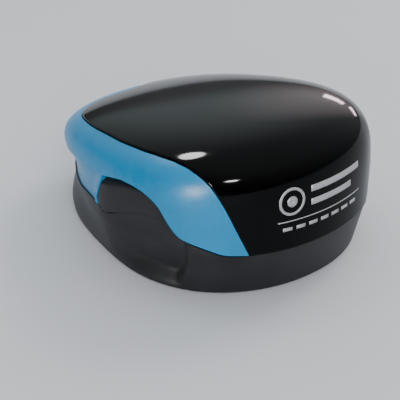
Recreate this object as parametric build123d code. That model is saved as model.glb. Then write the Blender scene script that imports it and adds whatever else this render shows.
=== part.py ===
from build123d import *
from math import acos, cos, pi, radians, sin, tan
import os

# Self-inking pocket stamp, closed and latched. Millimetres, +Z up, label side at -Y.
# The origin is the centre of the outline on the surface it stands on.

# Outline of the body, as a polar curve about PLAN_Y
PLAN_R = 32.1
PLAN_HARMONICS = (-0.061, 0.111, -0.057)
PLAN_Y = -4.06
SEAM_FLARE = 1.078
SEAM_Z = 10.4
RIM_RADIUS = 9.0
BACK_TUCK = 2.9

# Crown of the top: height, slope towards the label side, and roundness
TOP_Z = 31.1
TOP_SLOPE = -0.18
TOP_ROUND = 0.00233

# Walls
COVER_WALL = 1.9
BASE_WALL = 1.9
BAND_WALL = 2.6
SKIRT_WALL = 1.45
FLOOR_LOW = 0.6
FLOOR_TOP = 1.7
WALL_LOW = 0.4

# Turning plate
PIVOT_Y = -10.0
PIVOT_Z = 7.4
DIE_R = 13.0
DIE_DEPTH = 6.7
AXLE_R = 1.5
FIT = 0.05

# Flip gear: one radian of the plate for each 5 mm of slider travel
MODULE = 0.5
TEETH = 20
BACKLASH = 0.10
PINION_X = (14.7, 16.9)
SLIDE_TRAVEL = 5.0 * pi

# Telescopic guide
POST_X = 21.5
POST_R = 1.5
POST_DY = 9.0
SLIDER_Z = (6.6, 22.4)
CHASSIS_Z = (27.0, 28.2)

# Ink pad
PAD_FACE = 22.8
PAD_BACK = 25.6

SIDES = ((-1, "left"), (1, "right"))


def plan_radius(angle):
    a1, a2, a3 = PLAN_HARMONICS
    return PLAN_R * (1 + a1 * cos(angle) + a2 * cos(2 * angle) + a3 * cos(3 * angle))


def back_share(angle):
    """0 from the front round to the flank, rising to 1 at the low end."""
    from_front = abs((angle + pi) % (2 * pi) - pi)
    f = min(1.0, max(0.0, (from_front - radians(97)) / radians(53)))
    return f * f * (3 - 2 * f)


def plan_face(offset, flare, z, tuck=0.0, steps=36):
    points = []
    for i in range(steps):
        angle = 2 * pi * i / steps
        r = plan_radius(angle) * flare - offset - tuck * back_share(angle)
        points.append((r * sin(angle), PLAN_Y - r * cos(angle), z))
    return make_face(Spline(*points, periodic=True))


def top_height(y):
    local = y - PLAN_Y
    return TOP_Z + TOP_SLOPE * local - TOP_ROUND * local ** 2


def side_zone(points, curve=None, half=60.0):
    """A solid across the whole width from a side-view outline of (y, z) points, y measured from PLAN_Y."""
    path = [(0, PLAN_Y + y, z) for y, z in points]
    edges = []
    if curve:
        bend = [(0, PLAN_Y + y, z) for y, z in curve]
        edges.append(Spline(*bend))
        path = [bend[-1]] + path + [bend[0]]
        edges.append(Polyline(*path))
        face = make_face(edges)
    else:
        face = make_face(Polyline(*path, close=True))
    return extrude(face, amount=half, dir=(1, 0, 0), both=True)


def envelope(offset):
    """The outer form moved inwards by offset, from the floor to the crown."""
    flare = loft([plan_face(offset, 1.0, 0), plan_face(offset, SEAM_FLARE, SEAM_Z)])
    barrel = extrude(plan_face(offset, SEAM_FLARE, SEAM_Z), amount=40, dir=(0, 0, 1))
    crown_y = [-50 + 5 * i for i in range(23)]
    crown = [(y, top_height(PLAN_Y + y) - offset) for y in crown_y]
    cap = side_zone([(60, -5), (-50, -5)], curve=crown)
    head = barrel & cap
    rim = [e for e in head.edges() if e.center().Z > 15 and e.length > 60]
    head = fillet(rim, RIM_RADIUS - offset)
    return flare + head


def low_form(offset):
    """The form below the lip, drawn in at the low end."""
    seam = plan_face(offset, SEAM_FLARE, SEAM_Z, BACK_TUCK)
    flare = loft([plan_face(offset, 1.0, 0), seam])
    return flare + extrude(seam, amount=12, dir=(0, 0, 1))


def box(x0, x1, y0, y1, z0, z1):
    return Pos((x0 + x1) / 2, (y0 + y1) / 2, (z0 + z1) / 2) * Box(x1 - x0, y1 - y0, z1 - z0)


def mirrored_box(side, x0, x1, y0, y1, z0, z1):
    low, high = sorted((side * x0, side * x1))
    return box(low, high, y0, y1, z0, z1)


def rod_z(x, y, r, z0, z1):
    return Pos(x, y, (z0 + z1) / 2) * Cylinder(r, z1 - z0)


def rod_x(x0, x1, y, z, r):
    return Pos((x0 + x1) / 2, y, z) * Rot(0, 90, 0) * Cylinder(r, x1 - x0)


# Side-view lines, y measured from PLAN_Y
BASE_LINE = [(-60, 10.2), (-30.7, 10.2), (-26.9, 10.5), (-23.9, 11.9), (-21.6, 12.8), (-19.4, 13.7), (-17.3, 15.2),
             (-13.2, 15.6), (-7.6, 15.3), (-3.1, 13.9), (2.6, 12.0), (4.7, 12.6), (8.9, 12.35), (12.8, 11.8), (19.3, 10.3),
             (60, 10.1)]
COVER_LINE = [(-60, 10.5), (-30.7, 10.5), (-26.9, 10.9), (-23.9, 12.4), (-21.6, 13.3), (-19.5, 14.3), (-18.4, 15.5),
              (-17.3, 16.9), (-16.2, 18.7), (-15.1, 20.4), (-13.3, 21.5), (-11.1, 22.4), (-7.8, 22.8), (-3.8, 22.7),
              (-0.5, 21.9), (3.4, 20.7), (5.2, 13.0), (8.9, 12.75), (12.8, 12.2), (19.3, 10.7), (60, 10.5)]
BUTTON_LINE = [(-17.6, 15.5), (-13.2, 15.85), (-7.6, 15.55), (-3.1, 14.15), (2.5, 12.35), (4.3, 14.6), (3.0, 20.3),
               (-0.6, 21.5), (-3.8, 22.3), (-7.8, 22.4), (-11.1, 22.0), (-13.1, 21.2), (-14.8, 20.1), (-15.9, 18.5),
               (-17.0, 16.8)]
HOOD_LINE = [(-30.2, 10.0), (-29.1, 14.4), (-27.6, 20.0), (-24.8, 25.5), (-21.4, 28.0), (-18.5, 28.9), (-14.8, 29.3),
             (-9.7, 29.1), (-3.2, 28.3), (8.9, 26.4), (21.0, 24.1), (33.3, 20.6), (44.0, 17.0)]
LIP_LINE = [(60, 13.0), (42, 17.0), (29.0, 19.3), (22.5, 20.0), (11.0, 20.2), (3.2, 20.3)]


def base_zone():
    return side_zone(BASE_LINE + [(60, WALL_LOW), (-60, WALL_LOW)])


def cover_zone():
    return side_zone(COVER_LINE + [(60, 60), (-60, 60)])


def skirt_zone(rise):
    return side_zone([(3.2, 5), (60, 5)] + [(y, z + rise) for y, z in LIP_LINE])


def button_zone():
    return side_zone(BUTTON_LINE)


def print_window():
    return box(-17.6, 17.6, PIVOT_Y - 15.7, PIVOT_Y + 15.7, -1, FLOOR_TOP + 1)


def screw(x, y, z, down, length):
    """A flush cross-head screw; the head's face is at z and the shank goes the way down points."""
    head = Pos(x, y, z - down * 0.5) * Rot(0 if down > 0 else 180, 0, 0) * Cone(0.85, 1.55, 1.0)
    shank = rod_z(x, y, 0.8, *sorted((z - down * 0.9, z - down * length)))
    slot = box(x - 0.9, x + 0.9, y - 0.15, y + 0.15, *sorted((z, z - down * 0.45)))
    cross = box(x - 0.15, x + 0.15, y - 0.9, y + 0.9, *sorted((z, z - down * 0.45)))
    return head + shank - slot - cross


def screw_hole(x, y, z, down=1):
    seat = Pos(x, y, z - down * 0.5) * Rot(0 if down > 0 else 180, 0, 0) * Cone(0.9, 1.62, 1.06)
    return seat + rod_z(x, y, 0.86, *sorted((z + down * 0.1, z - down * 3.2)))


def spring(x, y, z0, z1, turns, r=2.1, wire=0.25):
    height = z1 - z0 - 2 * wire
    path = Pos(x, y, z0 + wire) * Helix(height / turns, height, r)
    start = path @ 0
    section = Plane(origin=start, z_dir=path % 0) * Circle(wire)
    return sweep(section, path=path)


def involute_tooth_points(r_base, r_tip, half_pitch_angle, r_pitch, steps=6):
    """Flank points (radius, angle from the tooth's centre line) from the base circle to the tip."""
    inv_pitch = tan(acos(r_base / r_pitch)) - acos(r_base / r_pitch)
    flank = []
    for i in range(steps + 1):
        r = r_base + (r_tip - r_base) * i / steps
        a = acos(min(1.0, r_base / r))
        flank.append((r, half_pitch_angle + inv_pitch - (tan(a) - a)))
    return flank


def pinion(side):
    pitch = MODULE * TEETH / 2
    flank = involute_tooth_points(pitch * cos(radians(20)), pitch + 0.92 * MODULE,
                                  (pi * MODULE / 2 - BACKLASH) / 2 / pitch, pitch)
    root = pitch - 1.25 * MODULE
    outline = []
    for k in range(TEETH):
        centre = 2 * pi * k / TEETH
        outline.append((root, centre - flank[0][1] - 0.01))
        outline += [(r, centre - a) for r, a in flank]
        outline += [(r, centre + a) for r, a in reversed(flank)]
        outline.append((root, centre + flank[0][1] + 0.01))
    points = [(side * PINION_X[0], PIVOT_Y + r * cos(a), PIVOT_Z + r * sin(a)) for r, a in outline]
    wheel = extrude(make_face(Polyline(*points, close=True)), amount=PINION_X[1] - PINION_X[0], dir=(side, 0, 0))
    return wheel - rod_x(-20, 20, PIVOT_Y, PIVOT_Z, AXLE_R + 0.03)


def rack(side):
    pitch_y = PIVOT_Y + MODULE * TEETH / 2
    step = pi * MODULE
    tip, root = pitch_y - 0.92 * MODULE, pitch_y + 1.25 * MODULE
    half = (step / 2 - BACKLASH) / 2
    outline = [(root + 2.6, 26.4), (root + 2.6, 4.2), (root, 4.2)]
    first = PIVOT_Z + step * (-1.5)
    for k in range(14):
        z = first + k * step
        t = tan(radians(20))
        outline.append((root, z - half - (root - pitch_y) * t))
        outline.append((tip, z - half + (pitch_y - tip) * t))
        outline.append((tip, z + half - (pitch_y - tip) * t))
        outline.append((root, z + half + (root - pitch_y) * t))
    outline.append((root, 26.4))
    points = [(side * (PINION_X[0] - 0.1), y, z) for y, z in outline]
    return extrude(make_face(Polyline(*points, close=True)), amount=2.4, dir=(side, 0, 0))


def base_shell():
    wall = (low_form(0.0) - low_form(BASE_WALL)) & base_zone()
    floor = envelope_slab(0.6, FLOOR_LOW, FLOOR_TOP) - print_window()
    groove = foot_ring(0.0)
    body = wall + floor - groove
    for x, y in BASE_SCREWS:
        body -= rod_z(x, y, 0.86, 1.0, 5)
        body -= rod_z(x, y, 1.1, 1.4, 5)
    for side in (-1, 1):
        body -= Pos(side * 56.0, PLAN_Y - 24.9, 5.6) * Cylinder(30, 13)
    return body


def envelope_slab(offset, z0, z1):
    slab = loft([plan_face(offset, 1.0, 0), plan_face(offset, SEAM_FLARE, SEAM_Z)])
    return slab & box(-60, 60, -60, 60, z0, z1)


def foot_ring(gap):
    outer = extrude(plan_face(2.6 + gap, 1.0, 0), amount=0.9, dir=(0, 0, 1))
    inner = extrude(plan_face(5.2 - gap, 1.0, -1), amount=3, dir=(0, 0, 1))
    return outer - inner


BASE_SCREWS = [(s * 21.5, PIVOT_Y + y) for s in (-1, 1) for y in (-9.0, 14.6)]


def guide_frame():
    plate = box(-24.2, 24.2, PIVOT_Y - 12, PIVOT_Y + 17.2, FLOOR_TOP, 2.5)
    plate += box(-22, 22, PIVOT_Y + 17.2, PIVOT_Y + 20.4, FLOOR_TOP, 4.0)
    plate -= box(-18.2, 18.2, PIVOT_Y - 20, PIVOT_Y + 16.2, 0, 6)
    for x, y in BASE_SCREWS:
        plate -= screw_hole(x, y, 2.5)
    for side, _ in SIDES:
        plate -= rod_z(side * POST_X, PIVOT_Y + POST_DY, POST_R + 0.02, 2.0, 3)
    return plate


def side_button(side):
    skin = (envelope(1.0) - envelope(2.7)) & button_zone()
    keeper = (envelope(2.2) - envelope(3.2)) & side_zone([(-16.5, 10.5), (-1.5, 10.5), (-1.5, 17.6), (-16.5, 17.6)])
    half = mirrored_box(side, 15, 40, -60, 60, 0, 40)
    body = (skin + keeper) & half
    for i in range(4):
        z = 16.6 + 1.3 * i
        body -= Pos(side * 33.2, PLAN_Y - 9.5, z) * Rot(90, 0, 0) * Cylinder(3.6, 8 - i * 0.8) & skin
    return body


def button_leaf(side):
    y = PLAN_Y - 9.0
    foot = mirrored_box(side, 24.5, 26.4, y - 2.0, y + 2.0, FLOOR_TOP, FLOOR_TOP + 0.3)
    stem = mirrored_box(side, 24.5, 24.8, y - 2.0, y + 2.0, FLOOR_TOP, 14.0)
    tip = mirrored_box(side, 24.5, 25.3, y - 1.4, y + 1.4, 13.7, 14.0)
    return foot + stem + tip


def slider_frame():
    z0, z1 = SLIDER_Z
    body = box(-22.4, 22.4, PIVOT_Y + 16.4, PIVOT_Y + 18.2, 17.0, z1)
    for side, _ in SIDES:
        body += mirrored_box(side, 20.6, 22.4, PIVOT_Y - 10, PIVOT_Y + 18.2, 17.0, z1)
        body += mirrored_box(side, 20.6, 22.4, PIVOT_Y - 9, PIVOT_Y + 9, z0, 17.5)
        body += mirrored_box(side, 17.08, 21.0, PIVOT_Y + 5.9, PIVOT_Y + 8.2, z0, z1)
        body -= mirrored_box(side, 20.0, 23.0, PIVOT_Y - 4.5, PIVOT_Y + 4.0, 10.0, 15.5)
        for dy in (-POST_DY, POST_DY):
            body += rod_z(side * POST_X, PIVOT_Y + dy, 2.6, z0, z1)
    for side, _ in SIDES:
        for dy in (-POST_DY, POST_DY):
            body -= rod_z(side * POST_X, PIVOT_Y + dy, POST_R + FIT, 0, 40)
    return body


CHASSIS_SCREWS = [(s * 9.0, PIVOT_Y + y) for s in (-1, 1) for y in (-16.5, 7.5)]


def chassis(inner):
    z0, z1 = CHASSIS_Z
    plate = box(-14.0, 14.0, PIVOT_Y - 19.5, PIVOT_Y + 10.5, z0, z1)
    plate += box(-17.6, 17.6, PIVOT_Y - 16.5, PIVOT_Y - 11, z0, z1)
    plate += box(-23.6, 23.6, PIVOT_Y - 12, PIVOT_Y + 4.6, z0, z1)
    plate = plate & inner
    for side, _ in SIDES:
        plate += mirrored_box(side, 14.35, 17.2, PIVOT_Y - 15.5, PIVOT_Y - 12.5, 19.5, z0 + 0.2)
    for x, y in CHASSIS_SCREWS:
        plate -= screw_hole(x, y, z0, -1)
    return plate


def bearing_arm(side):
    arm = mirrored_box(side, 17.4, 19.4, PIVOT_Y - 3.6, PIVOT_Y + 3.6, PIVOT_Z, CHASSIS_Z[0])
    arm += rod_x(*sorted((side * 17.4, side * 19.4)), PIVOT_Y, PIVOT_Z, 3.6)
    arm -= mirrored_box(side, 17.0, 20.0, PIVOT_Y - 1.6, PIVOT_Y + 1.6, 13.0, 23.0)
    return arm - rod_x(-20, 20, PIVOT_Y, PIVOT_Z, AXLE_R + FIT)


def plate_carrier():
    disc = rod_z(0, PIVOT_Y, DIE_R, PIVOT_Z - 4.5, PIVOT_Z - 3.0)
    disc += rod_x(-13.6, 13.6, PIVOT_Y, PIVOT_Z, 2.6)
    disc += box(-11.5, 11.5, PIVOT_Y - 1.9, PIVOT_Y + 1.9, PIVOT_Z - 3.4, PIVOT_Z - 1.9)
    for x in (-7, 7):
        disc += box(x - 0.6, x + 0.6, PIVOT_Y - 9, PIVOT_Y + 9, PIVOT_Z - 3.4, PIVOT_Z - 1.75)
    return disc - rod_x(-20, 20, PIVOT_Y, PIVOT_Z, AXLE_R + 0.03)


def die_plate():
    low = PIVOT_Z - DIE_DEPTH
    body = rod_z(0, PIVOT_Y, DIE_R, low + 0.5, low + 1.2)
    for r in (12.6, 8.6):
        body += rod_z(0, PIVOT_Y, r, low, low + 0.6) - rod_z(0, PIVOT_Y, r - 0.5, low - 1, low + 0.5)
    for y, half in ((2.6, 5.0), (0, 6.6), (-2.6, 5.0)):
        body += box(-half, half, PIVOT_Y + y - 0.45, PIVOT_Y + y + 0.45, low, low + 0.6)
    for k in range(12):
        dot = Rot(0, 0, 30 * k) * Pos(10.4, 0, 0)
        body += rod_z(dot.position.X, PIVOT_Y + dot.position.Y, 0.6, low, low + 0.6)
    return body


def pad_tray():
    body = rod_z(0, PIVOT_Y, 15.6, 23.8, 26.7) & box(-14.2, 14.2, -60, 60, 0, 40)
    pocket = rod_z(0, PIVOT_Y, 14.7, 20, PAD_BACK) & box(-13.5, 13.5, -60, 60, 0, 40)
    tab = box(-4, 4, PIVOT_Y - 17.4, PIVOT_Y - 15.0, 25.4, 26.7)
    return body + tab - pocket


def ink_pad():
    return rod_z(0, PIVOT_Y, 14.6, PAD_FACE, PAD_BACK) & box(-13.4, 13.4, -60, 60, 0, 40)


def cover_shells(outer, inner):
    shell = (outer - inner) & cover_zone()
    top_side = side_zone([(60, 60), (-60, 60), (-60, 5)], curve=[(-31.2, 4)] + HOOD_LINE)
    glossy = shell & top_side
    lower = side_zone([(60, -5), (-31.3, -5)], curve=[(-31.1, 3.9)] + [(y + 0.12, z - 0.12) for y, z in HOOD_LINE])
    band = (outer - envelope(BAND_WALL)) & cover_zone() & lower
    band -= skirt_zone(0)
    band += (low_form(0.25) - low_form(0.25 + SKIRT_WALL)) & cover_zone() & skirt_zone(1.3) & lower
    core = envelope(0.8)
    for x, y in CHASSIS_SCREWS:
        glossy += rod_z(x, y, 2.0, CHASSIS_Z[1], 40) & core
        glossy -= rod_z(x, y, 0.86, 20, CHASSIS_Z[1] + 1.55)
    return glossy, band


def save(name, shape):
    solids = shape.solids()
    if len(solids) > 1:
        print("NOTE", name, "has", len(solids), "solids", [round(s.volume, 2) for s in solids])
        shape = max(solids, key=lambda s: s.volume)
    export_step(shape, f"parts/{name}.step")


def build_cover(outer, inner):
    glossy, band = cover_shells(outer, inner)
    save("top_cover", glossy)
    save("trim_band", band)
    save("chassis", chassis(envelope(BAND_WALL + 0.2)))
    for side, name in SIDES:
        save(f"bearing_arm_{name}", bearing_arm(side))
        save(f"cover_post_{name}", rod_z(side * POST_X, PIVOT_Y - POST_DY, POST_R, 2.9, CHASSIS_Z[0]))
    for i, (x, y) in enumerate(CHASSIS_SCREWS, 1):
        save(f"chassis_screw_{i}", screw(x, y, CHASSIS_Z[0], -1, 2.6))


def build_base():
    save("base_shell", base_shell())
    save("foot_ring", foot_ring(0.05))
    save("guide_frame", guide_frame())
    for i, (x, y) in enumerate(BASE_SCREWS, 1):
        save(f"base_screw_{i}", screw(x, y, 2.5, 1, 1.4))
    for side, name in SIDES:
        save(f"base_post_{name}", rod_z(side * POST_X, PIVOT_Y + POST_DY, POST_R, 2.0, 27.0))
        save(f"lower_spring_{name}", spring(side * POST_X, PIVOT_Y + POST_DY, 2.5, SLIDER_Z[0], 5))
        save(f"side_button_{name}", side_button(side))
        save(f"button_leaf_{name}", button_leaf(side))


def build_slider():
    save("slider_frame", slider_frame())
    for side, name in SIDES:
        save(f"flip_rack_{name}", rack(side))
        save(f"upper_spring_{name}", spring(side * POST_X, PIVOT_Y - POST_DY, SLIDER_Z[1], CHASSIS_Z[0], 6))


def build_plate():
    save("plate_carrier", plate_carrier())
    save("plate_axle", rod_x(-19.2, 19.2, PIVOT_Y, PIVOT_Z, AXLE_R))
    save("cushion", rod_z(0, PIVOT_Y, 12.6, PIVOT_Z - DIE_DEPTH + 1.2, PIVOT_Z - 4.5))
    save("die_plate", die_plate())
    for side, name in SIDES:
        save(f"flip_pinion_{name}", pinion(side))
    save("pad_tray", pad_tray())
    save("ink_pad", ink_pad())


os.makedirs("parts", exist_ok=True)
OUTER = envelope(0.0)
INNER = envelope(COVER_WALL)
build_cover(OUTER, INNER)
build_base()
build_slider()
build_plate()
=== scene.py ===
import math

import bmesh
import bpy
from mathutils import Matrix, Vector


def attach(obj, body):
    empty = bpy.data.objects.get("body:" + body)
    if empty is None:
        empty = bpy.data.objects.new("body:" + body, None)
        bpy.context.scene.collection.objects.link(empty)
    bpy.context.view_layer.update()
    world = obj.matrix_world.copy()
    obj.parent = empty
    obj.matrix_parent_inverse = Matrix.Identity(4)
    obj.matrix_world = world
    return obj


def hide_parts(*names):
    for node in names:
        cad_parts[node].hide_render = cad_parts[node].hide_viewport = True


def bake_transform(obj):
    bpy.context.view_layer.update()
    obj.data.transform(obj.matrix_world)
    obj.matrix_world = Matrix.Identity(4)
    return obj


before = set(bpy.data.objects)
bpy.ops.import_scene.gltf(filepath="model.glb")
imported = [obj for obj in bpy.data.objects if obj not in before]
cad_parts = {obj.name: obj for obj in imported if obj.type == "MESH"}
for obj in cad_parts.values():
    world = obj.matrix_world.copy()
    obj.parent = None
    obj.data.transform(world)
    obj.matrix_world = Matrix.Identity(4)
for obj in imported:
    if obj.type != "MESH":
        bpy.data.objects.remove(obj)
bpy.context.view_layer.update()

MM = 0.001
SIDES = ((-1, "left"), (1, "right"))
# The plate's middle, and how far the springs stand from it to the side and along, in millimetres
PIVOT_Y, SPRING_X, SPRING_Y = -10.0, 21.5, 9.0

# The body's outer form in millimetres: a polar outline, a flared base and a crowned top
PLAN_R, PLAN_HARMONICS, PLAN_Y = 32.1, (-0.061, 0.111, -0.057), -4.06
FLARE, SEAM_Z = 1.078, 10.4
TOP_Z, TOP_SLOPE, TOP_ROUND, TOP_POWER = 31.1, -0.18, 0.00233, 5.1

# Lines on the form, as (turn, rise): degrees round from the front, and degrees up from the seam
# towards the crown. The right side mirrors the left one.
HOOD_TOP = [(30.2, 0.3), (33.1, 9.8), (35.2, 16.2), (37.2, 22.7), (39.9, 29.4), (42.6, 34.6),
            (45.1, 37.8), (48.1, 40.5), (52.7, 43.4), (59.4, 45.7), (69.3, 47.1), (82.9, 47.7),
            (96, 47.6), (110.5, 47.7), (136.5, 47.4), (148, 46.6), (154, 46.5), (160, 47.6),
            (166, 50.0), (171, 52.5), (176, 54.3), (180, 54.8)]
HOOD_LOW = [(30.2, 0.2), (39.2, 1.0), (46.1, 4.9), (50.9, 7.3), (55.1, 9.7), (57.1, 13.1),
            (59, 16.8), (61, 21.3), (63, 25.6), (66.1, 28.4), (69.8, 30.8), (75.6, 32.4),
            (82.9, 32.9), (89, 31.7), (96, 30.0), (105.5, 29.6), (114.2, 29.2), (123.2, 28.6),
            (134.6, 26.6), (145, 24.5), (180, 24.0)]
CREASE = [(55.6, 10.0), (59.1, 12.9), (66.5, 14.5), (76.3, 14.2), (84.4, 10.9), (92.4, 5.9),
          (97.0, 4.9)]
SKIRT_SEAM = [(97.0, 4.9), (100.0, 8.2), (107.3, 7.5), (114.9, 5.9), (127.3, 0.9), (135, 0.4),
              (180, 0.4)]
# The skirt's slanted front end, the other way about: (rise, turn)
SKIRT_END = [(4.9, 97.2), (8.2, 100.1), (12.8, 101.2), (21.9, 98.6), (29.6, 96.6)]

# Turns where pieces start and end, in degrees, and where the low end is fully formed
LABEL_T, BAND_T, BUTTON_T, EAR_T, SKIRT_T, FLANK_T, LOW_T = 30, 30.5, 56.4, 96.2, 96.5, 97.0, 150
# Half the joint between the gloss shell and the band, in degrees round and up
JOINT_TURN, JOINT_RISE = 0.12, 0.25
# How far the low end draws in and the finger scoops sink in, in millimetres
LOW_TUCK, SCOOP_DEPTH = 3.2, 2.5


# ---------------------------------------------------------------- the outer form
def lerp_table(table, x):
    if x <= table[0][0]:
        return table[0][1]
    for (x0, y0), (x1, y1) in zip(table, table[1:]):
        if x <= x1:
            return y0 + (y1 - y0) * (x - x0) / (x1 - x0)
    return table[-1][1]


def smooth_table(table, x):
    """The table's value at x, averaged over a short stretch so that its corners are rounded."""
    reach = min(1.6, max(0.0, x - table[0][0]))
    values = [lerp_table(table, x + reach * k / 3) for k in (-3, -2, -1, 0, 1, 2, 3)]
    return sum(values) / len(values)


def smoothstep(low, high, x):
    f = min(1.0, max(0.0, (x - low) / (high - low)))
    return f * f * (3 - 2 * f)


def plan_radius(t):
    a1, a2, a3 = PLAN_HARMONICS
    return PLAN_R * (1 + a1 * math.cos(t) + a2 * math.cos(2 * t) + a3 * math.cos(3 * t))


def raw_point(t_deg, a_deg):
    """A point on the form in millimetres, before the outline is moved to its place in the frame."""
    t = math.radians(t_deg)
    if a_deg <= 0:
        up = 1 + a_deg / 90
        r = plan_radius(t) * (1 + (FLARE - 1) * up)
        return Vector((r * math.sin(t), -r * math.cos(t), SEAM_Z * up))
    c, s = math.cos(math.radians(a_deg)), math.sin(math.radians(a_deg))
    d = (abs(c) ** TOP_POWER + abs(s) ** TOP_POWER) ** (1 / TOP_POWER)
    r = plan_radius(t) * FLARE * c / d
    x, y = r * math.sin(t), -r * math.cos(t)
    top = TOP_Z + TOP_SLOPE * y - TOP_ROUND * (x * x + y * y)
    return Vector((x, y, SEAM_Z + (top - SEAM_Z) * s / d))


def on_form(t_deg, a_deg, out=0.0, level=False):
    """A point on the form, moved outwards by out millimetres along its normal, or level; in metres."""
    step, crown, near_crown = 0.4, 90.0, 89.0
    a = min(a_deg, near_crown)
    along = raw_point(t_deg + step, a) - raw_point(t_deg - step, a)
    up = raw_point(t_deg, a + step) - raw_point(t_deg, a - step)
    normal = along.cross(up)
    if level:
        normal.z = 0
    normal.normalize()
    p = raw_point(t_deg, min(a_deg, crown)) + normal * out
    return Vector((p.x, p.y + PLAN_Y, p.z)) * MM


def around(step, start=-180.0, stop=180.0):
    count = round((stop - start) / step)
    return [start + (stop - start) * i / count for i in range(count + 1)]


# ---------------------------------------------------------------- mesh tools
def put(name, data):
    """A new object in the scene that shows the data."""
    obj = bpy.data.objects.new(name, data)
    bpy.context.scene.collection.objects.link(obj)
    return obj


def link(name, bm, material, body):
    mesh = bpy.data.meshes.new(name)
    bmesh.ops.recalc_face_normals(bm, faces=bm.faces)
    bm.to_mesh(mesh)
    bm.free()
    mesh.polygons.foreach_set("use_smooth", [True] * len(mesh.polygons))
    obj = put(name, mesh)
    mesh.materials.append(material)
    if body:
        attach(obj, body)
    return obj


def join_columns(bm, columns):
    """Quads between each column of vertices and the next."""
    for left, right in zip(columns, columns[1:]):
        for j in range(len(left) - 1):
            bm.faces.new((left[j], right[j], right[j + 1], left[j + 1]))


def surface(name, columns, material, body, closed=False, pole=None):
    """A quad sheet from columns of points; closed joins the last column to the first, and pole
    closes the last row onto one point."""
    bm = bmesh.new()
    grid = [[bm.verts.new(p) for p in column] for column in columns]
    join_columns(bm, grid + grid[:1] if closed else grid)
    if pole is not None:
        tip = bm.verts.new(pole)
        for left, right in zip(grid, grid[1:] + grid[:1]):
            bm.faces.new((left[-1], right[-1], tip))
    bmesh.ops.remove_doubles(bm, verts=bm.verts, dist=1e-7)
    return link(name, bm, material, body)


def thicken(obj, wall, edge, segments=3):
    """Gives the sheet a wall inwards, and rounds its edges where edge isn't 0; both in millimetres."""
    solid = obj.modifiers.new("wall", "SOLIDIFY")
    solid.thickness = wall * MM
    solid.offset = -1
    solid.use_even_offset = False
    if edge:
        bevel = obj.modifiers.new("edge", "BEVEL")
        bevel.width = edge * MM
        bevel.segments = segments
        bevel.limit_method = "ANGLE"
        bevel.angle_limit = math.radians(50)
        bevel.harden_normals = True


# ---------------------------------------------------------------- materials
def add(tree, kind, **inputs):
    node = tree.nodes.new(kind)
    for key, value in inputs.items():
        node.inputs[key.replace("_", " ")].default_value = value
    return node


def maths(tree, operation, first, second):
    """The result of one sum on two linked values."""
    node = tree.nodes.new("ShaderNodeMath")
    node.operation = operation
    tree.links.new(first, node.inputs[0])
    tree.links.new(second, node.inputs[1])
    return node.outputs[0]


def ramp(tree, source, low, high, positions=(0.35, 0.65)):
    node = tree.nodes.new("ShaderNodeValToRGB")
    for element, position, colour in zip(node.color_ramp.elements, positions, (low, high)):
        element.position = position
        element.color = colour
    tree.links.new(source, node.inputs[0])
    return node.outputs[0]


def grey(v):
    return (v, v, v, 1)


def moulded(name, colour, rough, grain, depth, vary, metallic=0.0, streak=(1, 1, 1), spread=0.06,
            specular=0.5):
    """Moulded or drawn material: fine grain in the bump, slow colour drift, and patchy roughness.
    grain is the scale of the noise, depth the strength of the bump and vary the drift of the colour."""
    material = bpy.data.materials.new(name)
    material.use_nodes = True
    tree = material.node_tree
    shader = tree.nodes["Principled BSDF"]
    coords = tree.nodes.new("ShaderNodeTexCoord")
    mapping = add(tree, "ShaderNodeMapping", Scale=streak)
    tree.links.new(coords.outputs["Object"], mapping.inputs[0])
    fine = add(tree, "ShaderNodeTexNoise", Scale=grain, Detail=3.0, Roughness=0.6)
    slow = add(tree, "ShaderNodeTexNoise", Scale=grain * 0.035, Detail=4.0, Roughness=0.55)
    for noise in (fine, slow):
        tree.links.new(mapping.outputs[0], noise.inputs["Vector"])
    dark = [c * (1 - vary) for c in colour] + [1]
    light = [min(1, c * (1 + vary)) for c in colour] + [1]
    tree.links.new(ramp(tree, slow.outputs[0], dark, light), shader.inputs["Base Color"])
    both = maths(tree, "ADD", fine.outputs[0], slow.outputs[0])
    smooth, dull = grey(max(0.02, rough - spread)), grey(min(1, rough + spread))
    tree.links.new(ramp(tree, both, smooth, dull, (0.6, 1.0)), shader.inputs["Roughness"])
    bump = add(tree, "ShaderNodeBump", Strength=depth * 10, Distance=0.00002)
    tree.links.new(fine.outputs[0], bump.inputs["Height"])
    tree.links.new(bump.outputs[0], shader.inputs["Normal"])
    shader.inputs["Metallic"].default_value = metallic
    shader.inputs["Specular IOR Level"].default_value = specular
    return material


GLOSS = moulded("gloss_black", (0.0008, 0.0008, 0.0010), 0.06, 900, 0.004, 0.3, spread=0.02,
                specular=0.11)
BLUE = moulded("satin_blue", (0.010, 0.31, 0.64), 0.26, 3400, 0.16, 0.05, specular=0.3)
BLACK = moulded("matte_black", (0.015, 0.015, 0.018), 0.40, 4200, 0.10, 0.2, specular=0.32)
BLACK_IN = moulded("inner_black", (0.030, 0.030, 0.033), 0.6, 3000, 0.08, 0.2)
FRAME_GREY = moulded("frame_grey", (0.22, 0.23, 0.25), 0.45, 3000, 0.06, 0.08)
GEAR_WHITE = moulded("gear_white", (0.72, 0.72, 0.69), 0.38, 3200, 0.04, 0.05)
STEEL = moulded("turned_steel", (0.60, 0.60, 0.61), 0.24, 5200, 0.05, 0.06, metallic=1.0,
                streak=(1, 1, 0.08), spread=0.08)
SPRING = moulded("spring_wire", (0.52, 0.53, 0.56), 0.28, 5200, 0.05, 0.08, metallic=1.0,
                 streak=(1, 1, 0.3), spread=0.08)
FOOT = moulded("foot_rubber", (0.030, 0.030, 0.031), 0.8, 2400, 0.15, 0.2)
DIE = moulded("die_rubber", (0.42, 0.09, 0.07), 0.62, 2600, 0.10, 0.12)
FOAM = moulded("cell_foam", (0.68, 0.68, 0.64), 0.9, 1500, 0.25, 0.10)
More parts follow.
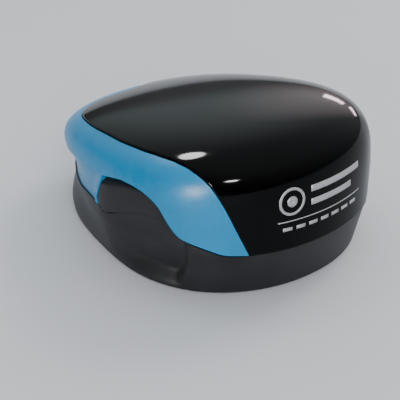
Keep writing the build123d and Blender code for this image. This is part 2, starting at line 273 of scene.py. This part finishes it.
PRINT = moulded("silver_print", (0.50, 0.51, 0.53), 0.42, 3000, 0.03, 0.05, metallic=0.35)
FLOOR = moulded("pale_floor", (0.73, 0.745, 0.785), 0.6, 300, 0.02, 0.01)


def felt():
    material = moulded("inked_felt", (0.022, 0.028, 0.09), 0.75, 1800, 0.35, 0.35, spread=0.15)
    shader = material.node_tree.nodes["Principled BSDF"]
    shader.inputs["Sheen Weight"].default_value = 0.35
    shader.inputs["Sheen Roughness"].default_value = 0.6
    return material


FELT = felt()


# ---------------------------------------------------------------- the cover
def hood_top(t):
    t = abs(t)
    return smooth_table(HOOD_TOP, t) if t > HOOD_TOP[0][0] else HOOD_TOP[0][1]


def top_cover():
    """The gloss shell, from its edges at the label and at the band up over the crown."""
    out, label_low, crown, rows_up = 0.3, 0.55, 89.2, 54
    columns = []
    for t in around(1.0)[:-1]:
        low = label_low if abs(t) < LABEL_T else hood_top(abs(t) + JOINT_TURN) + JOINT_RISE
        rows = [low + (crown - low) * (1 - (1 - j / rows_up) ** 1.15) for j in range(rows_up + 1)]
        columns.append([on_form(t, a, out) for a in rows])
    obj = surface("top_shell", columns, GLOSS, "cover", closed=True, pole=on_form(0, 90, out))
    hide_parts("top_cover")
    thicken(obj, wall=1.5, edge=0.45, segments=4)


def low_end(t):
    """0 from the front round to the flank, rising to 1 at the low end."""
    return smoothstep(FLANK_T, LOW_T, abs(t))


def tuck(t, a):
    """How far the cover curves in below its band at the low end."""
    full_rise, no_rise = 8, 40
    return LOW_TUCK * low_end(t) * (1 - smoothstep(full_rise, no_rise, a))


def skirt_turn(t, a):
    """The turn of the skirt's column t at rise a, moved near the front end to follow its slant."""
    straight_t = 114
    shift = lerp_table(SKIRT_END, a) - SKIRT_END[-1][1]
    return math.copysign(abs(t) + shift * (1 - smoothstep(SKIRT_T, straight_t, abs(t))), t)


def skirt_low(t):
    """The skirt's lower edge, just above the base, moved near its front end to match the slant."""
    shift, straight_t, corner_t, gap = 3.4, 108, 99.9, 0.35
    turn = abs(t) + shift * (1 - smoothstep(SKIRT_T, straight_t, abs(t)))
    return lerp_table(SKIRT_SEAM, max(turn, corner_t)) + gap


def hood():
    """The blue band, and below its crease at the low end the skirt that closes onto the base."""
    gap, narrowest, band_rows, skirt_rows = 0.1, 0.05, 20, 24
    groove_depth, groove_rise, groove_t = 0.5, 1.2, 104
    bm = bmesh.new()
    band, skirt = [], []
    for turn in around(1.0, BAND_T, 360 - BAND_T):
        t = turn if turn <= 180 else turn - 360
        low = smooth_table(HOOD_LOW, abs(t)) + gap
        high = max(hood_top(abs(t) - JOINT_TURN) - JOINT_RISE, low + narrowest)
        rows = [low + (high - low) * j / band_rows for j in range(band_rows + 1)]
        band.append([bm.verts.new(on_form(t, a, -tuck(t, a))) for a in rows])
        if abs(t) < SKIRT_T:
            continue
        seam = skirt_low(t)
        deep = groove_depth * smoothstep(SKIRT_T, groove_t, abs(t))
        column = []
        for j in range(skirt_rows):
            a = seam + (low - seam) * (1 - (1 - j / skirt_rows) ** 1.6)
            groove = deep * smoothstep(0.0, groove_rise, low - a)
            column.append(bm.verts.new(on_form(skirt_turn(t, a), a, -tuck(t, a) - groove)))
        skirt.append(column + [band[-1][0]])
    join_columns(bm, band)
    join_columns(bm, skirt)
    obj = link("hood", bm, BLUE, "cover")
    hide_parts("trim_band")
    thicken(obj, wall=1.3, edge=0.22)


# ---------------------------------------------------------------- the base
def height(a):
    """Roughly how high the form's side is at rise a, in millimetres."""
    mm_per_degree = 0.38
    return SEAM_Z * (1 + a / 90) if a < 0 else SEAM_Z + a * mm_per_degree


def scoop(t, a):
    """How far the side sinks in for a finger, and how far the low end draws in, in millimetres.
    The scoop's front edge is soft and runs back towards the foot; its back fades out slowly."""
    foot_z, scoop_z, tuck_z = 0.6, 4.6, 10.5
    front_t, deep_t, fade_t, back_t = 51.0, 54.4, 72, 98
    z = height(a)
    bend = 2.0 * smoothstep(9.0, 2.5, z)
    front_edge = smoothstep(front_t + bend, deep_t + 2 * bend, abs(t))
    across = front_edge * (1 - smoothstep(fade_t, back_t, abs(t)))
    sunk = SCOOP_DEPTH * across * smoothstep(foot_z, scoop_z, z)
    return sunk + LOW_TUCK * low_end(t) * smoothstep(foot_z, tuck_z, z)


def base_top(t):
    """The wall's upper edge: below the label, the band, the button and the skirt in turn."""
    below_label, below_band, below_rest = 0.5, 0.9, 0.05
    t = abs(t)
    if t < BAND_T:
        return -below_label
    if t < CREASE[0][0]:
        return smooth_table(HOOD_LOW, t) - below_band
    return lerp_table(CREASE if t <= FLANK_T else SKIRT_SEAM, t) - below_rest


def base_wall():
    foot, inset, rows_up = -87.5, 0.12, 30
    columns = []
    for t in around(1.0)[:-1]:
        rows = [foot + (base_top(t) - foot) * j / rows_up for j in range(rows_up + 1)]
        columns.append([on_form(t, a, -inset - scoop(t, a), level=True) for a in rows])
    obj = surface("base_wall", columns, BLACK, "base", closed=True)
    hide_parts("base_shell")
    thicken(obj, wall=1.3, edge=0.16)


def base_floor():
    """The floor plate with its print window, as columns from the window's edge out to the wall."""
    window_x, window_y, top, foot, inside = 17.6, 15.7, 1.7, -85, 1.0
    columns = []
    for t in around(2.0)[:-1]:
        x, y = math.sin(math.radians(t)), -math.cos(math.radians(t))
        reach = min(window_x / max(1e-6, abs(x)), window_y / max(1e-6, abs(y)))
        inner = Vector((x * reach, PIVOT_Y + y * reach, 0))
        outer = on_form(t, foot, -inside) / MM
        column = [inner.lerp(outer, f) for f in (0, 0.02, 0.5, 1)]
        columns.append([Vector((p.x, p.y, top)) * MM for p in column])
    obj = surface("base_floor", columns, BLACK_IN, "base", closed=True)
    thicken(obj, wall=0.95, edge=0.1)


def button(side, name):
    """The release button, whose back edge follows the skirt's slanted front end."""
    columns_round, rows_up = 40, 18
    inset, rounding, back_gap = 0.14, 1.2, 0.75
    above_base, corner_lift, below_band, narrowest = 0.05, 0.35, 0.8, 0.3
    columns = []
    for k in range(columns_round + 1):
        f = k / columns_round
        t0 = BUTTON_T + (EAR_T - BUTTON_T) * f
        low = lerp_table(CREASE, t0) + above_base + corner_lift * smoothstep(0.97, 1.0, f)
        high = max(smooth_table(HOOD_LOW, t0) - below_band, low + narrowest)
        column = []
        for j in range(rows_up + 1):
            g = j / rows_up
            a = low + (high - low) * g
            slant = lerp_table(SKIRT_END, a) - back_gap - EAR_T
            t = t0 + slant * smoothstep(0.72, 1.0, f)
            round_off = rounding * smoothstep(0.80, 1.0, g)
            column.append(on_form(side * t, a, -inset - scoop(t, a) - round_off))
        columns.append(column)
    obj = surface(f"release_button_{name}", columns, BLACK, f"{name}_button")
    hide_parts(f"side_button_{name}")
    thicken(obj, wall=1.2, edge=0.12)


# ---------------------------------------------------------------- print on the label face
def label_point(u, z):
    """A point just off the label face, u millimetres to the right of its middle, at height z."""
    face_r, out = 34.2, 0.33
    t = math.degrees(u / face_r)
    low, high = 0.5, 60.0
    for _ in range(24):
        middle = (low + high) / 2
        if on_form(t, middle).z / MM < z:
            low = middle
        else:
            high = middle
    return on_form(t, low, out)


def printed(name, patches):
    bm = bmesh.new()
    for patch in patches:
        grid = [[bm.verts.new(label_point(u, z)) for u, z in row] for row in patch]
        for low, high in zip(grid, grid[1:]):
            for i in range(len(low) - 1):
                bm.faces.new((low[i], low[i + 1], high[i + 1], high[i]))
    obj = link(name, bm, PRINT, "cover")
    thicken(obj, wall=0.03, edge=0)


def bar(u0, u1, z0, z1):
    """A strip between u0 and u1 and between z0 and z1, in short steps that follow the label's curve."""
    step = 0.8
    steps = max(2, round(abs(u1 - u0) / step))
    across = [u0 + (u1 - u0) * i / steps for i in range(steps + 1)]
    return [[(u, z0 + (z1 - z0) * f) for u in across] for f in (0, 0.5, 1)]


def ring(u, z, r0, r1):
    """A ring round (u, z) between the radii r0 and r1."""
    steps = 40
    angles = [math.radians(360 * i / steps) for i in range(steps + 1)]
    return [[(u + r * math.cos(a), z + r * math.sin(a)) for a in angles] for r in (r0, r1)]


def label():
    """A plain mark: a ring with a dot, two bars, a line below them and a row of dashes."""
    mark_u, mark_z, dashes, first_u, pitch, dash = -8.9, 21.6, 7, -11.0, 3.2, 2.2
    patches = [ring(mark_u, mark_z, 2.5, 3.1), ring(mark_u, mark_z, 0.05, 1.2),
               bar(-4.2, 11.6, 22.6, 24.0), bar(-4.2, 8.2, 19.6, 21.0),
               bar(-12.2, 12.0, 17.1, 17.35)]
    for i in range(dashes):
        u = first_u + pitch * i
        patches.append(bar(u, u + dash, 15.0, 15.8))
    printed("front_print", patches)


# ---------------------------------------------------------------- springs, pad and foam
def coil(name, x, y, z0, z1, turns, cad):
    """A spring between two bodies. At rest its turns lie closer in the middle, where the blend
    stretches it most, and its wire is flat, because the blend stretches the wire as well."""
    wire, flat, r, sides, steps_per_turn = 0.26, 0.13, 2.1, 8, 28
    steps = turns * steps_per_turn
    bm = bmesh.new()
    grid = []
    for i in range(steps + 1):
        f = i / steps
        a = 2 * math.pi * turns * f
        spread = 0.5 - math.sin(math.asin(1 - 2 * f) / 3)
        z = z0 + flat + (z1 - z0 - 2 * flat) * spread
        centre = Vector((x + r * math.cos(a), y + r * math.sin(a), z))
        out = Vector((math.cos(a), math.sin(a), 0))
        loop = []
        for k in range(sides):
            b = 2 * math.pi * k / sides
            across = out * wire * math.cos(b)
            loop.append(bm.verts.new((centre + across + Vector((0, 0, flat * math.sin(b)))) * MM))
        grid.append(loop)
    for a, b in zip(grid, grid[1:]):
        for k in range(sides):
            bm.faces.new((a[k], b[k], b[(k + 1) % sides], a[(k + 1) % sides]))
    bm.faces.new(grid[0])
    bm.faces.new(list(reversed(grid[-1])))
    obj = link(name, bm, SPRING, None)
    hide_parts(cad)
    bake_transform(obj)


def soft_disc(name, material, body, radius, flat_x, z0, z1, crown, cad):
    """A soft round pad cut flat at its sides, with rounded edges and a slightly crowned face."""
    bm = bmesh.new()
    points = 96
    rings = []
    middle, half = (z0 + z1) / 2, (z1 - z0) / 2
    profile = [(0.25, -1), (0.5, -1), (0.75, -1), (0.9, -0.99), (0.965, -0.9), (0.99, -0.6), (1, -0.2)]
    profile += [(f, -h) for f, h in reversed(profile)]
    for f, h in profile:
        dome = crown * (1 - f * f) if h < 0 else 0
        loop = []
        for k in range(points):
            a = 2 * math.pi * k / points
            x = max(-flat_x, min(flat_x, radius * math.cos(a))) * f
            y = radius * math.sin(a) * f
            ripple = 0.03 * math.sin(5 * a + 3 * f) * (1 - abs(h)) if abs(h) < 0.95 else 0
            inset = 1 - crown * 0.12 * (1 - abs(h)) + ripple * 0.1
            z = middle + half * h * (1 - crown * 0.5) - dome * half * 0.5
            loop.append(bm.verts.new(Vector((x * inset, PIVOT_Y + y * inset, z)) * MM))
        rings.append(loop)
    for a, b in zip(rings, rings[1:]):
        for k in range(points):
            bm.faces.new((a[k], a[(k + 1) % points], b[(k + 1) % points], b[k]))
    for loop, z in ((rings[0], z0), (rings[-1], z1)):
        tip = bm.verts.new(Vector((0, PIVOT_Y, z)) * MM)
        for k in range(points):
            bm.faces.new((loop[k], loop[(k + 1) % points], tip))
    obj = link(name, bm, material, body)
    sub = obj.modifiers.new("round", "SUBSURF")
    sub.levels = sub.render_levels = 1
    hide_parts(cad)


# ---------------------------------------------------------------- CAD nodes that stay
def carried():
    looks = {"foot_ring": FOOT, "guide_frame": FRAME_GREY, "slider_frame": FRAME_GREY,
             "chassis": FRAME_GREY, "plate_carrier": GEAR_WHITE, "plate_axle": STEEL,
             "die_plate": DIE, "pad_tray": FRAME_GREY}
    for _, name in SIDES:
        looks.update({f"bearing_arm_{name}": FRAME_GREY, f"cover_post_{name}": STEEL,
                      f"base_post_{name}": STEEL, f"flip_rack_{name}": GEAR_WHITE,
                      f"flip_pinion_{name}": GEAR_WHITE, f"button_leaf_{name}": SPRING})
    for i in range(1, 5):
        looks[f"base_screw_{i}"] = looks[f"chassis_screw_{i}"] = STEEL
    for name, material in looks.items():
        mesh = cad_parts[name].data
        mesh.materials.clear()
        mesh.materials.append(material)


# ---------------------------------------------------------------- stage, lights and camera
def stage_floor():
    size = 3.0
    bm = bmesh.new()
    corners = ((-1, -1), (1, -1), (1, 1), (-1, 1))
    bm.faces.new([bm.verts.new((x * size, y * size, 0)) for x, y in corners])
    mesh = bpy.data.meshes.new("floor")
    bm.to_mesh(mesh)
    bm.free()
    mesh.materials.append(FLOOR)
    put("floor", mesh)


def aim(obj, place, target):
    obj.location = place
    towards = Vector(target) - Vector(place)
    obj.rotation_euler = towards.to_track_quat("-Z", "Y").to_euler()


def area_light(name, place, size, power, only, colour=(1, 1, 1), shape="ELLIPSE"):
    """An area light on the stamp that gives it only soft light or only a reflection."""
    data = bpy.data.lights.new(name, "AREA")
    data.shape = shape
    data.size, data.size_y = size
    data.energy = power
    data.color = colour
    obj = put(name, data)
    aim(obj, place, (0, 0, 0.015))
    obj.visible_diffuse = only == "soft"
    obj.visible_glossy = only == "reflection"


def lights():
    rosy = (1.0, 0.78, 0.88)
    area_light("lamp", (-0.05, 0.29, 0.60), (0.18, 0.13), 5.0, "reflection")
    area_light("second_lamp", (-0.36, -0.49, 0.35), (0.13, 0.03), 2.2, "reflection")
    area_light("left_window", (-0.58, -0.24, 0.11), (0.07, 0.09), 3.4, "reflection")
    for i, place in ((1, (0.51, 0.31, 0.12)), (2, (0.58, 0.19, 0.09))):
        area_light(f"window_{i}", place, (0.10, 0.04), 0.20, "reflection", rosy, "RECTANGLE")
    area_light("front_fill", (-0.42, -0.68, 0.45), (0.5, 0.5), 3.1, "soft")
    area_light("right_key", (0.75, 0.10, 0.60), (0.4, 0.4), 2.8, "soft")


def fade(tree, source, low, high, levels):
    """The first level below low and the second above high, with a smooth step between them."""
    node = add(tree, "ShaderNodeMapRange", From_Min=low, From_Max=high, To_Min=levels[0],
               To_Max=levels[1])
    node.interpolation_type = "SMOOTHSTEP"
    tree.links.new(source, node.inputs["Value"])
    return node.outputs[0]


def glow(tree, towards, inner, outer, levels, colour, above=None):
    """Light from one side of the room that fades out between two cosines of the angle from its
    middle, and fades in between the two heights of above where they are given."""
    coords = tree.nodes.new("ShaderNodeTexCoord").outputs["Generated"]
    dot = tree.nodes.new("ShaderNodeVectorMath")
    dot.operation = "DOT_PRODUCT"
    dot.inputs[1].default_value = Vector(towards).normalized()
    tree.links.new(coords, dot.inputs[0])
    level = fade(tree, dot.outputs["Value"], outer, inner, levels)
    if above:
        split = tree.nodes.new("ShaderNodeSeparateXYZ")
        tree.links.new(coords, split.inputs[0])
        level = maths(tree, "MULTIPLY", level, fade(tree, split.outputs["Z"], *above, (0, 1)))
    background = add(tree, "ShaderNodeBackground", Color=(*colour, 1))
    tree.links.new(level, background.inputs["Strength"])
    return background.outputs[0]


def room():
    """A soft dome, brightest overhead, a cool wall behind the stamp and a warm one to its right."""
    world = bpy.data.worlds.new("studio")
    world.use_nodes = True
    tree = world.node_tree
    overhead = glow(tree, (0.28, -0.02, 0.96), 1.0, -0.1, (0.04, 0.95), (0.93, 0.965, 1.0))
    cool = glow(tree, (0.42, 0.87, 0.30), 1.0, 0.60, (0.0, 0.36), (0.75, 0.97, 1.0), (0.07, 0.20))
    warm = glow(tree, (0.80, 0.52, 0.26), 1.0, 0.94, (0.0, 0.85), (1.0, 0.74, 0.76))
    total = overhead
    for part in (cool, warm):
        both = tree.nodes.new("ShaderNodeAddShader")
        tree.links.new(total, both.inputs[0])
        tree.links.new(part, both.inputs[1])
        total = both.outputs[0]
    tree.links.new(total, tree.nodes["World Output"].inputs["Surface"])
    bpy.context.scene.world = world


def camera():
    """Looks down on the front left of the stamp, and aims a little below and left of its middle."""
    azimuth, elevation, distance = math.radians(-42.07), math.radians(27.17), 0.321
    left, below = 0.00356, 0.00666
    level = math.cos(elevation)
    back = Vector((math.sin(azimuth) * level, -math.cos(azimuth) * level, math.sin(elevation)))
    right = Vector((math.cos(azimuth), math.sin(azimuth), 0))
    up = back.cross(right)
    middle = Vector((0, PLAN_Y * MM, 0.01284))
    data = bpy.data.cameras.new("camera")
    data.sensor_width = 36
    data.lens = 126.75
    data.clip_start = 0.01
    obj = put("camera", data)
    aim(obj, middle + back * distance, middle - right * left - up * below)
    bpy.context.scene.camera = obj


top_cover()
hood()
base_wall()
base_floor()
label()
for side, name in SIDES:
    button(side, name)
    x = side * SPRING_X
    coil(f"lower_coil_{name}", x, PIVOT_Y + SPRING_Y, z0=2.5, z1=6.6, turns=5,
         cad=f"lower_spring_{name}")
    coil(f"upper_coil_{name}", x, PIVOT_Y - SPRING_Y, z0=22.4, z1=27.0, turns=6,
         cad=f"upper_spring_{name}")
soft_disc("felt_pad", FELT, "pad", radius=14.5, flat_x=13.3, z0=22.8, z1=25.55, crown=0.12,
          cad="ink_pad")
soft_disc("foam_cushion", FOAM, "plate", radius=12.5, flat_x=12.5, z0=1.92, z1=2.88, crown=0.02,
          cad="cushion")
carried()
stage_floor()
lights()
room()
camera()
